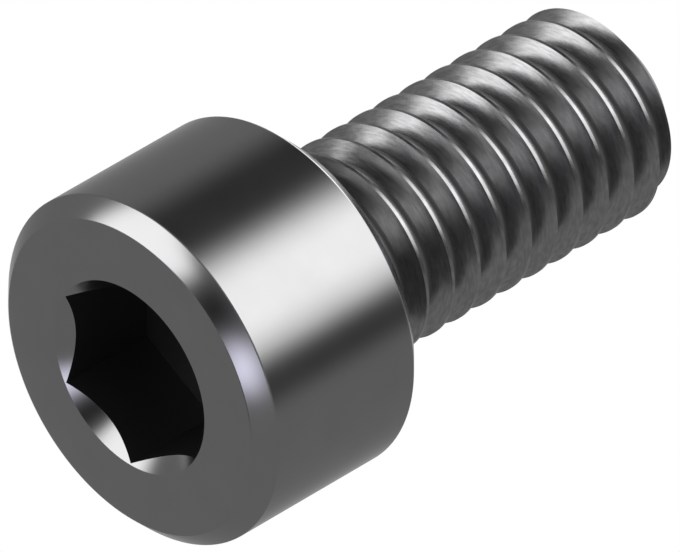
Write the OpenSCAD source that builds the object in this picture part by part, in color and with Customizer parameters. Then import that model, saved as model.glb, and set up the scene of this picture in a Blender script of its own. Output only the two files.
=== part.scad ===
// Socket head cap screw, M5 x 10, fully threaded, one solid. It stands on the
// face of its head, with the thread's tip up. Sizes in millimetres.

/* [Head] */
// Diameter of the head
head_d = 8.44; // [7.8:0.01:9.4]
// Height of the head, from its face to its bearing side
head_h = 5; // [4.4:0.1:6]
// Chamfer round the edge of the face
face_chamfer = 0.42; // [0.1:0.01:0.6]
// Chamfer round the edge of the bearing side
bearing_chamfer = 0.42; // [0.1:0.01:0.6]
// Radius of the small round on the head's outer edges
edge_round = 0.06; // [0.02:0.01:0.1]
// Radius of the fillet where the shank leaves the head
neck_fillet = 0.25; // [0.1:0.01:0.4]

/* [Socket] */
// Width of the hex socket across its flats
socket_w = 4.02; // [3.6:0.01:4.6]
// Depth of the flats, from the face
socket_depth = 2.5; // [2:0.1:3]
// Depth of the cone that the punch leaves below the flats
punch_cone = 0.6; // [0.2:0.05:1]
// How far the countersink reaches past the corners of the hex, on each side
countersink_lip = 0.02; // [0.02:0.01:0.2]

/* [Thread] */
// Outer diameter of the thread
thread_d = 5; // [4.6:0.1:5.4]
// Advance of the thread in one turn
pitch = 0.8; // [0.6:0.05:1]
// Length of the screw from its bearing side to its tip
shank_length = 10; // [8:0.5:20]
// From the bearing side to the middle of the groove where it starts, over +X
groove_start = 0.33; // [0.3:0.01:0.8]
// Part of a turn in which the groove sinks in to its full depth
run_out_turn = 0.9; // [0.5:0.05:1]
// Length of the tip's chamfer along the shank
tip_length = 0.62; // [0.3:0.01:1]
// Diameter of the flat end of the tip
tip_d = 3.44; // [3:0.01:4]

/* [Hidden] */
$fn = 96;

// A metric thread: 60 degrees between the flanks, a flat of an eighth of the
// pitch on the crest, and a round root that touches both flanks. Its shares of
// the pitch and of the sharp triangle's height are the standard's.
flank_angle = 30;
sharp_h = pitch / 2 / tan(flank_angle);
crest_w = pitch / 8;
root_r = sharp_h / 6;
thread_depth = sharp_h * 17 / 24;
// The cutter stands this far out of the shank, still clear of its next turn
cutter_proud = 0.04;
cutter_w = pitch - crest_w + 2 * cutter_proud * tan(flank_angle);
// Steps of the cutter in one turn, and of the arc at its root
segments = 40;
root_steps = 4;
// Turns of the cutter, with a last part that leaves the shank through the tip
overrun_turn = 0.6;
turns = (shank_length - groove_start) / pitch + overrun_turn;

total_h = head_h + shank_length;
socket_corner_r = socket_w / 2 / cos(30);
countersink_r = socket_corner_r + countersink_lip;
nudge = 0.01;

function unit(v) = v / norm(v);

// A convex outline whose corners, from number `first` to number `last`, are
// rounded with true arcs of radius r
module softened(points, first, last, r) {
    corners = [for (i = [first : last])
        let (
            corner = points[i],
            back = unit(points[i - 1] - corner),
            ahead = unit(points[i + 1] - corner),
            half = acos(back * ahead) / 2)
        [corner + back * r / tan(half),
         corner + ahead * r / tan(half),
         corner + unit(back + ahead) * r / sin(half)]];
    polygon([
        for (i = [0 : first - 1]) points[i],
        for (c = corners) each [c[0], c[1]],
        for (i = [last + 1 : len(points) - 1]) points[i]
    ]);
    for (c = corners)
        translate(c[2])
            circle(r = r);
}

// Half of the head's turned outline
module head_outline() {
    head_r = head_d / 2;
    softened([
        [0, 0],
        [head_r - face_chamfer, 0],
        [head_r, face_chamfer],
        [head_r, head_h - bearing_chamfer],
        [head_r - bearing_chamfer, head_h],
        [0, head_h]
    ], 1, 4, edge_round);
}

// Half of the shank's turned outline, with the chamfer of its tip and the
// arc of the fillet at its neck
module shank_outline() {
    thread_r = thread_d / 2;
    polygon([
        [0, head_h - nudge],
        [thread_r, head_h - nudge],
        [thread_r, total_h - tip_length],
        [tip_d / 2, total_h],
        [0, total_h]
    ]);
    difference() {
        translate([thread_r - nudge, head_h - nudge])
            square(neck_fillet + nudge);
        translate([thread_r + neck_fillet, head_h + neck_fillet])
            circle(r = neck_fillet);
    }
}

module hex_socket() {
    translate([0, 0, -nudge])
        cylinder(r = socket_corner_r, h = socket_depth + nudge, $fn = 6);
    translate([0, 0, socket_depth - nudge])
        cylinder(r1 = socket_w / 2, r2 = 0, h = punch_cone + nudge);
    translate([0, 0, -nudge])
        cylinder(r1 = countersink_r + nudge, r2 = 0, h = countersink_r + nudge);
}

// The groove's section as [distance inside the crest, height], going down one
// flank, round the root and up the other
root_centre = thread_depth - root_r;
groove_section = concat(
    [[-cutter_proud, -cutter_w / 2]],
    [for (k = [0 : root_steps])
        let (a = (90 - flank_angle) * (1 - 2 * k / root_steps))
        [root_centre + root_r * cos(a), -root_r * sin(a)]],
    [[-cutter_proud, cutter_w / 2]]
);

// How far the section is held out of the shank at a given turn
function lift(turn) =
    (thread_depth + cutter_proud) * (1 - min(1, turn / run_out_turn));

// The section at one step of the helix, kept clear of the bearing face
function ring(i) =
    let (turn = i / segments)
    [for (p = groove_section)
        let (
            r = thread_d / 2 - p[0] + lift(turn),
            rise = groove_start + pitch * turn + p[1])
        [r * cos(360 * turn), r * sin(360 * turn), head_h + max(nudge, rise)]];

module groove_cutter() {
    n = len(groove_section);
    last = ceil(turns * segments);
    side = [for (i = [0 : last - 1], j = [0 : n - 1])
        let (a = i * n + j, b = i * n + (j + 1) % n)
        each [[a, a + n, b], [b, a + n, b + n]]];
    start_cap = [[for (j = [0 : n - 1]) j]];
    end_cap = [[for (j = [n - 1 : -1 : 0]) last * n + j]];
    polyhedron(
        points = [for (i = [0 : last]) each ring(i)],
        faces = concat(side, start_cap, end_cap),
        convexity = 8);
}

module cap_screw() {
    color([0.3, 0.3, 0.31])
        difference() {
            rotate_extrude() {
                head_outline();
                shank_outline();
            }
            hex_socket();
            groove_cutter();
        }
}

cap_screw();
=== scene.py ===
# Socket head cap screw, M5 x 10, standing on its head.
# The camera looks at the head's face from below, so the floor is clear from underneath.
import math

import bmesh
import bpy
from mathutils import Euler, Matrix, Vector

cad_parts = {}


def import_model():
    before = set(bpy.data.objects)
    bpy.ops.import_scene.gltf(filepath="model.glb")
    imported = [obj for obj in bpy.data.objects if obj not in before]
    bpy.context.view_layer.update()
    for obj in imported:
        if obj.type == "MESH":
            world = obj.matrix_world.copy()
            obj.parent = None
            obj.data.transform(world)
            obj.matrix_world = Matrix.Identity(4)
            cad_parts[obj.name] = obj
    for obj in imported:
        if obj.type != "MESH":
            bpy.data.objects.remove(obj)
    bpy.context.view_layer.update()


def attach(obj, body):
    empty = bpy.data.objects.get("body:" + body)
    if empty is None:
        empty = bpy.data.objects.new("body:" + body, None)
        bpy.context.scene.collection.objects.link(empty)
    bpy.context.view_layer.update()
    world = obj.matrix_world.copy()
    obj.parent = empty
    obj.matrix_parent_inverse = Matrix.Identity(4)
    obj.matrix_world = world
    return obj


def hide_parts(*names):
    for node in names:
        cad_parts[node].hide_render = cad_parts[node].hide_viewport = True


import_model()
print("frame loaded")

millimetre = 0.001

# What can be changed on the screw, in millimetres, degrees and turns
screw = {
    "headRadius": 4.22,
    "headHeight": 5.0,
    "faceChamfer": 0.42,
    "bearingChamfer": 0.42,
    "chamferAngle": 45.0,
    "edgeRound": 0.06,
    "edgeSteps": 4,
    "neckFillet": 0.25,
    "neckSteps": 6,
    "shankRadius": 2.5,
    "shankLength": 10.0,
    "tipLength": 0.62,
    "tipRadius": 1.72,
    "pitch": 0.8,
    "flankAngle": 30.0,
    "grooveStart": 0.33,
    "runOutTurn": 0.9,
    "overrunTurn": 0.6,
    "proud": 0.04,
    "rootSteps": 8,
    "grooveDepth": 0.49,
    "crestFlat": 0.08,
    "turnSteps": 144,
    "socketSides": 6,
    "socketWidth": 4.02,
    "socketDepth": 2.5,
    "punchCone": 0.6,
    "countersinkLip": 0.02,
    "nudge": 0.01,
    "mergeWithin": 0.00001,
    "weldWithin": 0.0001,
    "smoothAngle": 28.0,
    "normalWeight": 80,
}


def placed(name, data):
    made = bpy.data.objects.new(name, data)
    bpy.context.scene.collection.objects.link(made)
    return made


def wireFrom(shape, corners, closed=False):
    # A run of edges through corners given as (radius, height)
    points = [shape.verts.new((r, 0.0, z)) for r, z in corners]
    following = points[1:] + points[:1] if closed else points[1:]
    for here, after in zip(points, following):
        shape.edges.new((here, after))
    return points


def roundCorner(shape, corner, offset, steps):
    bmesh.ops.bevel(shape, geom=[corner], offset=offset, offset_type="OFFSET", segments=steps,
                    profile=0.5, affect="VERTICES", material=-1)


def finished(shape, name):
    # Merges what coincides, points the faces outwards and makes the object
    bmesh.ops.remove_doubles(shape, verts=shape.verts[:], dist=screw["mergeWithin"])
    bmesh.ops.recalc_face_normals(shape, faces=shape.faces[:])
    mesh = bpy.data.meshes.new(name)
    shape.to_mesh(mesh)
    shape.free()
    return placed(name, mesh)


def turnedBlank():
    # The blank before its socket and thread, turned from half its outline
    head, shank = screw["headRadius"], screw["shankRadius"]
    height = screw["headHeight"]
    top = height + screw["shankLength"]
    shape = bmesh.new()
    points = wireFrom(shape, [
        (0, 0),
        (head - screw["faceChamfer"], 0),
        (head, screw["faceChamfer"]),
        (head, height - screw["bearingChamfer"]),
        (head - screw["bearingChamfer"], height),
        (shank, height),
        (shank, top - screw["tipLength"]),
        (screw["tipRadius"], top),
        (0, top),
    ])
    edgeOffset = screw["edgeRound"] * math.tan(math.radians(screw["chamferAngle"] / 2))
    for corner in points[1:5]:
        roundCorner(shape, corner, edgeOffset, screw["edgeSteps"])
    roundCorner(shape, points[5], screw["neckFillet"], screw["neckSteps"])
    bmesh.ops.spin(shape, geom=shape.verts[:] + shape.edges[:], cent=(0, 0, 0), axis=(0, 0, 1),
                   angle=math.tau, steps=screw["turnSteps"], use_merge=True)
    return finished(shape, "turnedBlank")


def helixTurn(place):
    # Which turn of the groove, counted from its start, a point belongs to
    part = math.atan2(place.y, place.x) / math.tau
    start = screw["headHeight"] + screw["grooveStart"]
    return round((place.z - start) / screw["pitch"] - part) + part


def grooveCutter():
    # A 60 degree vee with a round root, wound up the shank, which sinks in along its first turn
    pitch = screw["pitch"]
    flank = math.tan(math.radians(screw["flankAngle"]))
    halfWidth = (pitch - screw["crestFlat"]) / 2
    sharpDepth = halfWidth / flank
    rootRadius = sharpDepth - screw["grooveDepth"]
    start = screw["headHeight"] + screw["grooveStart"]
    turns = (screw["shankLength"] - screw["grooveStart"]) / pitch + screw["overrunTurn"]
    steps = math.ceil(turns * screw["turnSteps"])
    outside = screw["shankRadius"] + screw["proud"]
    halfOutside = halfWidth + screw["proud"] * flank
    shape = bmesh.new()
    points = wireFrom(shape, [
        (outside, start - halfOutside),
        (screw["shankRadius"] - sharpDepth, start),
        (outside, start + halfOutside),
    ], closed=True)
    roundCorner(shape, points[1], rootRadius / flank, screw["rootSteps"])
    bmesh.ops.spin(shape, geom=shape.verts[:] + shape.edges[:], cent=(0, 0, 0), axis=(0, 0, 1),
                   dvec=(0, 0, pitch / screw["turnSteps"]), angle=math.tau * steps / screw["turnSteps"],
                   steps=steps, use_merge=False)
    ends = [edge for edge in shape.edges if edge.is_boundary]
    bmesh.ops.holes_fill(shape, edges=ends, sides=0)
    cutDepth = screw["grooveDepth"] + screw["proud"]
    lowest = screw["headHeight"] + screw["nudge"]
    for corner in shape.verts:
        left = 1 - helixTurn(corner.co) / screw["runOutTurn"]
        corner.co.z = max(corner.co.z, lowest)
        if left > 0:
            outward = Vector((corner.co.x, corner.co.y, 0)).normalized()
            corner.co += outward * cutDepth * left
    bmesh.ops.triangulate(shape, faces=shape.faces[:])
    return finished(shape, "grooveCutter")


def prismOrCone(shape, sides, lowRadius, highRadius, low, high, turn=0.0):
    middle = Matrix.Translation((0, 0, (low + high) / 2)) @ Matrix.Rotation(turn, 4, "Z")
    bmesh.ops.create_cone(shape, cap_ends=True, cap_tris=False, segments=sides, radius1=lowRadius,
                          radius2=highRadius, depth=high - low, matrix=middle)


def socketCutters():
    # The hex, the shallow cone that the punch leaves, and the countersink at the mouth
    nudge, depth, steps = screw["nudge"], screw["socketDepth"], screw["turnSteps"]
    halfSide = math.radians(180 / screw["socketSides"])
    corner = screw["socketWidth"] / 2 / math.cos(halfSide)
    hexShape = bmesh.new()
    prismOrCone(hexShape, screw["socketSides"], corner, corner, -nudge, depth, halfSide)
    punch = bmesh.new()
    prismOrCone(punch, steps, screw["socketWidth"] / 2, 0.0, depth - nudge, depth + screw["punchCone"])
    mouth = corner + screw["countersinkLip"] + nudge  # its sides slope at 45 degrees
    sink = bmesh.new()
    prismOrCone(sink, steps, mouth, 0.0, -nudge, mouth - nudge)
    return [finished(hexShape, "hexCutter"), finished(punch, "punchCutter"), finished(sink, "sinkCutter")]


def cutScrew():
    blank = turnedBlank()
    cutters = socketCutters() + [grooveCutter()]
    for cutter in cutters:
        cut = blank.modifiers.new(cutter.name, "BOOLEAN")
        cut.operation = "DIFFERENCE"
        cut.solver = "EXACT"
        cut.object = cutter
    bpy.context.view_layer.update()
    graph = bpy.context.evaluated_depsgraph_get()
    whole = bpy.data.meshes.new_from_object(blank.evaluated_get(graph))
    for used in cutters + [blank]:
        bpy.data.objects.remove(used)
    shape = bmesh.new()
    shape.from_mesh(whole)
    bmesh.ops.remove_doubles(shape, verts=shape.verts[:], dist=screw["weldWithin"])
    bmesh.ops.dissolve_degenerate(shape, edges=shape.edges[:], dist=screw["mergeWithin"])
    bmesh.ops.transform(shape, matrix=Matrix.Scale(millimetre, 4), verts=shape.verts[:])
    print("screw cut:", len(shape.faces), "faces,",
          sum(len(face.verts) - 2 for face in shape.faces), "triangles,",
          sum(not edge.is_manifold for edge in shape.edges), "open edges,",
          round(shape.calc_volume() / millimetre ** 3, 1), "cubic mm")
    shape.to_mesh(whole)
    shape.free()
    whole.name = "capScrew"
    made = placed("capScrew", whole)
    whole.shade_smooth()
    whole.set_sharp_from_angle(angle=math.radians(screw["smoothAngle"]))
    even = made.modifiers.new("evenNormals", "WEIGHTED_NORMAL")
    even.mode = "FACE_AREA"
    even.weight = screw["normalWeight"]
    even.keep_sharp = True
    return made


# The dark grey steel, and the fine drawn marks that the rolling leaves on the thread
steelFinish = {
    "colour": (0.180, 0.180, 0.182),
    "edgeTint": 0.76,
    "roughness": 0.19,
    "roughnessSpread": 0.003,
    "threadRoughness": 0.24,
    "threadRoughnessSpread": 0.012,
    # The groove's root and the socket's walls are rougher than the rest.
    "hollowRoughness": 0.42,
    # Painted shade: the groove's root is darkened to this share of the steel's colour.
    "rootPaintedShade": 0.75,
    # Painted shade: the socket's walls are darkened to this share of the steel's colour.
    "socketPaintedShade": 0.5,
    "mottleSize": 900.0,
    "mottleDetail": 4.0,
    "mottleTone": 0.06,
    "markSize": 22000.0,
    "markRise": 1300.0,
    "markLength": 9.0,
    "markDetail": 1.0,
    "markTone": 0.17,
    "markBump": 0.02,
    "markBumpHeight": 0.000004,
    "noiseRange": (0.3, 0.7),
    # Where each part begins or ends and over what length it fades, in metres
    "threadFrom": (0.00505, 0.0004),
    "threadTo": (0.01497, 0.00002),
    "rootWithin": (0.00208, 0.00003),
    "rootBelow": (0.0145, 0.0002),
    "socketBeyond": (0.002345, 0.00002),
    "socketWithin": (0.00233, 0.00001),
    "socketBelow": (0.004, 0.0005),
}


class nodeMaker:
    # Short hands for adding and joining shader nodes
    mixSockets = {"FLOAT": (2, 3, 0), "RGBA": (6, 7, 2)}  # the two that are mixed, and the result

    def __init__(self, tree):
        self.tree = tree

    def add(self, kind, **settings):
        made = self.tree.nodes.new(kind)
        for name, value in settings.items():
            setattr(made, name, value)
        return made

    def join(self, outlet, inlet):
        self.tree.links.new(outlet, inlet)

    def feed(self, node, index, value):
        if isinstance(value, (int, float, tuple)):
            node.inputs[index].default_value = value
        else:
            self.join(value, node.inputs[index])

    def sum(self, operation, first, second=0.0):
        made = self.add("ShaderNodeMath", operation=operation)
        self.feed(made, 0, first)
        self.feed(made, 1, second)
        return made.outputs[0]

    def product(self, first, *others):
        for other in others:
            first = self.sum("MULTIPLY", first, other)
        return first

    def ramp(self, value, low, high, lowResult=0.0, highResult=1.0, smooth=True):
        made = self.add("ShaderNodeMapRange", interpolation_type="SMOOTHSTEP" if smooth else "LINEAR")
        for index, number in enumerate((value, low, high, lowResult, highResult)):
            self.feed(made, index, number)
        return made.outputs[0]

    def mix(self, share, first, second, kind="RGBA"):
        made = self.add("ShaderNodeMix", data_type=kind)
        firstInput, secondInput, result = self.mixSockets[kind]
        self.feed(made, 0, share)
        self.feed(made, firstInput, first)
        self.feed(made, secondInput, second)
        return made.outputs[result]


def startMaterial(name):
    material = bpy.data.materials.new(name)
    material.use_nodes = True
    tree = material.node_tree
    return material, nodeMaker(tree), tree.nodes["Principled BSDF"]


def greyTone(level):
    return (level, level, level, 1.0)


def steelMaterial():
    material, make, shader = startMaterial("darkSteel")
    place = make.add("ShaderNodeTexCoord").outputs["Object"]
    parts = make.add("ShaderNodeSeparateXYZ")
    make.join(place, parts.inputs[0])
    flat = make.add("ShaderNodeCombineXYZ")
    make.join(parts.outputs[0], flat.inputs[0])
    make.join(parts.outputs[1], flat.inputs[1])
    radius = make.add("ShaderNodeVectorMath", operation="LENGTH")
    make.join(flat.outputs[0], radius.inputs[0])
    around = make.add("ShaderNodeVectorMath", operation="NORMALIZE")
    make.join(flat.outputs[0], around.inputs[0])
    aroundParts = make.add("ShaderNodeSeparateXYZ")
    make.join(around.outputs[0], aroundParts.inputs[0])
    high, wide = parts.outputs[2], radius.outputs["Value"]

    # Marks run round the shank along its flanks: fine across the radius, long round the turn
    marksAt = make.add("ShaderNodeCombineXYZ")
    make.join(make.product(wide, steelFinish["markSize"]), marksAt.inputs[0])
    make.join(make.product(high, steelFinish["markRise"]), marksAt.inputs[1])
    make.join(make.product(aroundParts.outputs[0], steelFinish["markLength"]), marksAt.inputs[2])
    marks = make.add("ShaderNodeTexNoise", noise_dimensions="4D")
    make.join(marksAt.outputs[0], marks.inputs["Vector"])
    make.join(make.product(aroundParts.outputs[1], steelFinish["markLength"]), marks.inputs["W"])
    marks.inputs["Scale"].default_value = 1.0
    marks.inputs["Detail"].default_value = steelFinish["markDetail"]

    mottle = make.add("ShaderNodeTexNoise")
    make.join(place, mottle.inputs["Vector"])
    mottle.inputs["Scale"].default_value = steelFinish["mottleSize"]
    mottle.inputs["Detail"].default_value = steelFinish["mottleDetail"]

    def past(value, name):
        limit, fade = steelFinish[name]
        return make.ramp(value, limit, limit + fade)

    def before(value, name):
        limit, fade = steelFinish[name]
        return make.ramp(value, limit + fade, limit)

    # Painted shade darkens the groove's root and the socket's walls beyond its countersink
    onThread = make.product(past(high, "threadFrom"), before(high, "threadTo"))
    inRoot = make.product(onThread, before(wide, "rootWithin"), before(high, "rootBelow"))
    inSocket = make.product(past(make.sum("ADD", high, wide), "socketBeyond"),
                            before(wide, "socketWithin"), before(high, "socketBelow"))

    def tone(share, value, spread):
        # The steel's colour, from a darker to a lighter one
        ends = [tuple(part * share * (1 + side * spread) for part in steelFinish["colour"]) + (1.0,)
                for side in (-1, 1)]
        return make.mix(value, *ends)

    def stretched(noise, low=0.0, high=1.0):
        # Noise seldom leaves its middle, so that is stretched over the whole
        return make.ramp(noise.outputs[0], *steelFinish["noiseRange"], low, high, smooth=False)

    plain = tone(1.0, mottle.outputs[0], steelFinish["mottleTone"])
    streaked = tone(1.0, stretched(marks), steelFinish["markTone"])
    # Painted shade: a darker copy of the steel for the groove's root
    rootShadeColour = tone(steelFinish["rootPaintedShade"], mottle.outputs[0], steelFinish["mottleTone"])
    # Painted shade: a darker copy of the steel for the socket's walls
    socketShadeColour = tone(steelFinish["socketPaintedShade"], mottle.outputs[0], steelFinish["mottleTone"])
    threaded = make.mix(inRoot, streaked, rootShadeColour)
    colour = make.mix(inSocket, make.mix(onThread, plain, threaded), socketShadeColour)
    make.join(colour, shader.inputs["Base Color"])

    def roughnessFrom(noise, middle, spread):
        return stretched(noise, middle - spread, middle + spread)

    smooth = roughnessFrom(mottle, steelFinish["roughness"], steelFinish["roughnessSpread"])
    drawn = roughnessFrom(marks, steelFinish["threadRoughness"], steelFinish["threadRoughnessSpread"])
    clean = make.mix(onThread, smooth, drawn, "FLOAT")
    # The groove's root and the socket's walls are also rougher
    inHollows = make.sum("MAXIMUM", inRoot, inSocket)
    make.join(make.mix(inHollows, clean, steelFinish["hollowRoughness"], "FLOAT"), shader.inputs["Roughness"])

    bump = make.add("ShaderNodeBump")
    bump.inputs["Distance"].default_value = steelFinish["markBumpHeight"]
    make.join(make.product(onThread, steelFinish["markBump"]), bump.inputs["Strength"])
    make.join(marks.outputs[0], bump.inputs["Height"])
    make.join(bump.outputs[0], shader.inputs["Normal"])

    shader.inputs["Metallic"].default_value = 1.0
    shader.inputs["Specular Tint"].default_value = greyTone(steelFinish["edgeTint"])
    return material


capScrew = cutScrew()
capScrew.data.materials.clear()
capScrew.data.materials.append(steelMaterial())
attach(capScrew, "root")
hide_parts("cap_screw")
print("screw made")


# The studio that the metal reflects: a grey room with soft boxes and dark flags. A card's
# heading and height are its direction from the screw, its size is in degrees each way.
studio = {
    "grey": 0.55,
    "floorTone": 0.856,
    "diffuse": 0.74,
    "horizon": (0.05, 0.3),
    "mapSize": 1024,
    "cards": [
        # heading, height, lean, half width, half height, soft edge, level, tint
        ("keyBox", 41, 38, 0, 24.5, 24, 33, 4.7, (1.0, 1.0, 1.0)),
        ("lowKey", 42.5, 17, 0, 12.5, 8, 14, 7.3, (1.0, 1.0, 1.0)),
        ("topBox", -52, 72, 0, 25, 19, 15, 7.2, (1.0, 1.0, 1.0)),
        ("flagTop", 0, 90, 0, 9, 9, 8, 0.6, (1.0, 1.0, 1.0)),
        ("flagLeft", -20, 35, 0, 20, 14, 26, 0.08, (1.0, 1.0, 1.0)),
        ("flagRight", 90.5, 33, 0, 10.5, 14, 16, 0.14, (1.0, 1.0, 1.0)),
        ("flagUnder", 31, -58, 0, 12, 12, 19, 0.03, (1.0, 1.0, 1.0)),
        ("flagDeep", 133, -69, 0, 14, 10, 12, 0.12, (1.0, 1.0, 1.0)),
        ("sideBox", -43, -45.5, 18, 23.5, 21, 11, 4.9, (1.0, 1.0, 1.0)),
        ("coolBox", 83.5, -55, 0, 10, 8.5, 17, 4.5, (0.95, 0.94, 1.13)),
        ("backStrip", -130, -2, 0, 8, 15, 10, 2.4, (1.0, 1.0, 1.0)),
    ],
}


def cardShare(make, direction, card):
    # One over the card, nought away from it, with a soft edge
    heading, height, lean, halfWidth, halfHeight, soft = card[1:7]
    facing = Euler((0, math.radians(-height), math.radians(heading)))
    back = facing.to_matrix() @ Matrix.Rotation(math.radians(lean), 3, "X")
    turned = make.add("ShaderNodeVectorRotate", rotation_type="EULER_XYZ", invert=True)
    make.join(direction, turned.inputs["Vector"])
    turned.inputs["Rotation"].default_value = back.to_euler("XYZ")
    parts = make.add("ShaderNodeSeparateXYZ")
    make.join(turned.outputs[0], parts.inputs[0])
    across = make.sum("ABSOLUTE", make.sum("ARCTAN2", parts.outputs[1], parts.outputs[0]))
    above = make.sum("ABSOLUTE", make.sum("ARCSINE", parts.outputs[2]))
    inWidth = make.ramp(across, math.radians(halfWidth + soft / 2), math.radians(halfWidth - soft / 2))
    inHeight = make.ramp(above, math.radians(halfHeight + soft / 2), math.radians(halfHeight - soft / 2))
    return make.product(inWidth, inHeight)


def studioWorld():
    world = bpy.data.worlds.new("studio")
    bpy.context.scene.world = world
    world.use_nodes = True
    tree = world.node_tree
    tree.nodes.clear()
    make = nodeMaker(tree)
    direction = make.add("ShaderNodeTexCoord").outputs["Generated"]
    seen = greyTone(studio["grey"])
    for card in studio["cards"]:
        level, tint = card[7:]
        colour = tuple(level * part for part in tint) + (1.0,)
        seen = make.mix(cardShare(make, direction, card), seen, colour)

    # The camera sees white, and level with the floor the floor's own tone
    height = make.add("ShaderNodeSeparateXYZ")
    make.join(direction, height.inputs[0])
    raised = make.ramp(height.outputs[2], *studio["horizon"])
    shown = make.mix(raised, greyTone(studio["floorTone"]), greyTone(1.0))
    rays = make.add("ShaderNodeLightPath")
    lit = make.mix(rays.outputs["Is Glossy Ray"], greyTone(studio["diffuse"]), seen)
    lit = make.mix(rays.outputs["Is Camera Ray"], lit, shown)
    background = make.add("ShaderNodeBackground")
    make.join(lit, background.inputs["Color"])
    world.cycles.sampling_method = "MANUAL"
    world.cycles.sample_map_resolution = studio["mapSize"]
    out = make.add("ShaderNodeOutputWorld")
    make.join(background.outputs[0], out.inputs["Surface"])


# A pale plane just under the head, with its half width in metres and its drop in millimetres
floorPlane = {
    "halfWidth": 1.5,
    "below": 0.02,
    "colour": 0.85,
    "roughness": 0.9,
}


def paleFloor():
    # From below the floor is clear, and it shades nothing itself
    shape = bmesh.new()
    bmesh.ops.create_grid(shape, x_segments=1, y_segments=1, size=floorPlane["halfWidth"],
                          matrix=Matrix.Translation((0, 0, -floorPlane["below"] * millimetre)))
    mesh = bpy.data.meshes.new("floor")
    shape.to_mesh(mesh)
    shape.free()
    floor = placed("floor", mesh)
    floor.visible_glossy = False
    floor.visible_shadow = False
    material, make, shader = startMaterial("paleFloor")
    shader.inputs["Base Color"].default_value = greyTone(floorPlane["colour"])
    shader.inputs["Roughness"].default_value = floorPlane["roughness"]
    shader.inputs["Specular IOR Level"].default_value = 0.0
    clear = make.add("ShaderNodeBsdfTransparent")
    either = make.add("ShaderNodeMixShader")
    make.join(make.add("ShaderNodeNewGeometry").outputs["Backfacing"], either.inputs[0])
    make.join(shader.outputs[0], either.inputs[1])
    make.join(clear.outputs[0], either.inputs[2])
    make.join(either.outputs[0], make.tree.nodes["Material Output"].inputs["Surface"])
    mesh.materials.append(material)


# The lamp gives the soft shadow on the floor. The metal sees the studio's boxes instead.
shadowLamp = {
    "strength": 1.0,
    "softness": 30.0,
    "heading": 42.0,
    "slope": 0.6,
}


def keyLamp():
    lamp = bpy.data.lights.new("key", "SUN")
    lamp.energy = shadowLamp["strength"]
    lamp.angle = math.radians(shadowLamp["softness"])
    made = placed("key", lamp)
    heading, slope = math.radians(shadowLamp["heading"]), shadowLamp["slope"]
    aim = Vector((math.cos(heading) * slope, math.sin(heading) * slope, 1.0))
    made.rotation_euler = aim.to_track_quat("Z", "Y").to_euler()
    made.visible_glossy = False


studioWorld()
paleFloor()
keyLamp()
print("studio made")

# The view along a cube's diagonal, from the side of the head's face. The photograph has no
# perspective, so the lens is long, and the small lean evens out what perspective is left.
# The aim, along right, up and back, and the distance are in millimetres, the clip in metres.
view = {
    "right": Vector((0, 1, 1)).normalized(),
    "up": Vector((2, -1, 1)).normalized(),
    "back": Vector((1, 1, -1)).normalized(),
    "lean": (0.0041, 0.0031),
    "aim": (4.587, 2.211, -4.33),
    "distance": 573.9,
    "lens": 1380.0,
    "sensor": 36.0,
    "clip": (0.01, 5.0),
}


def placeCamera():
    data = bpy.data.cameras.new("camera")
    data.sensor_width = view["sensor"]
    data.lens = view["lens"]
    data.clip_start, data.clip_end = view["clip"]
    camera = placed("camera", data)
    right, up, back = view["right"], view["up"], view["back"]
    across, high, deep = view["aim"]
    aim = right * across + up * high + back * deep
    back = (back + right * view["lean"][0] + up * view["lean"][1]).normalized()
    right = up.cross(back).normalized()
    place = (aim + back * view["distance"]) * millimetre
    turn = Matrix((right, back.cross(right), back)).transposed().to_4x4()
    camera.matrix_world = Matrix.Translation(place) @ turn
    bpy.context.scene.camera = camera


placeCamera()
bpy.context.scene.view_settings.view_transform = "Standard"
print("camera placed")
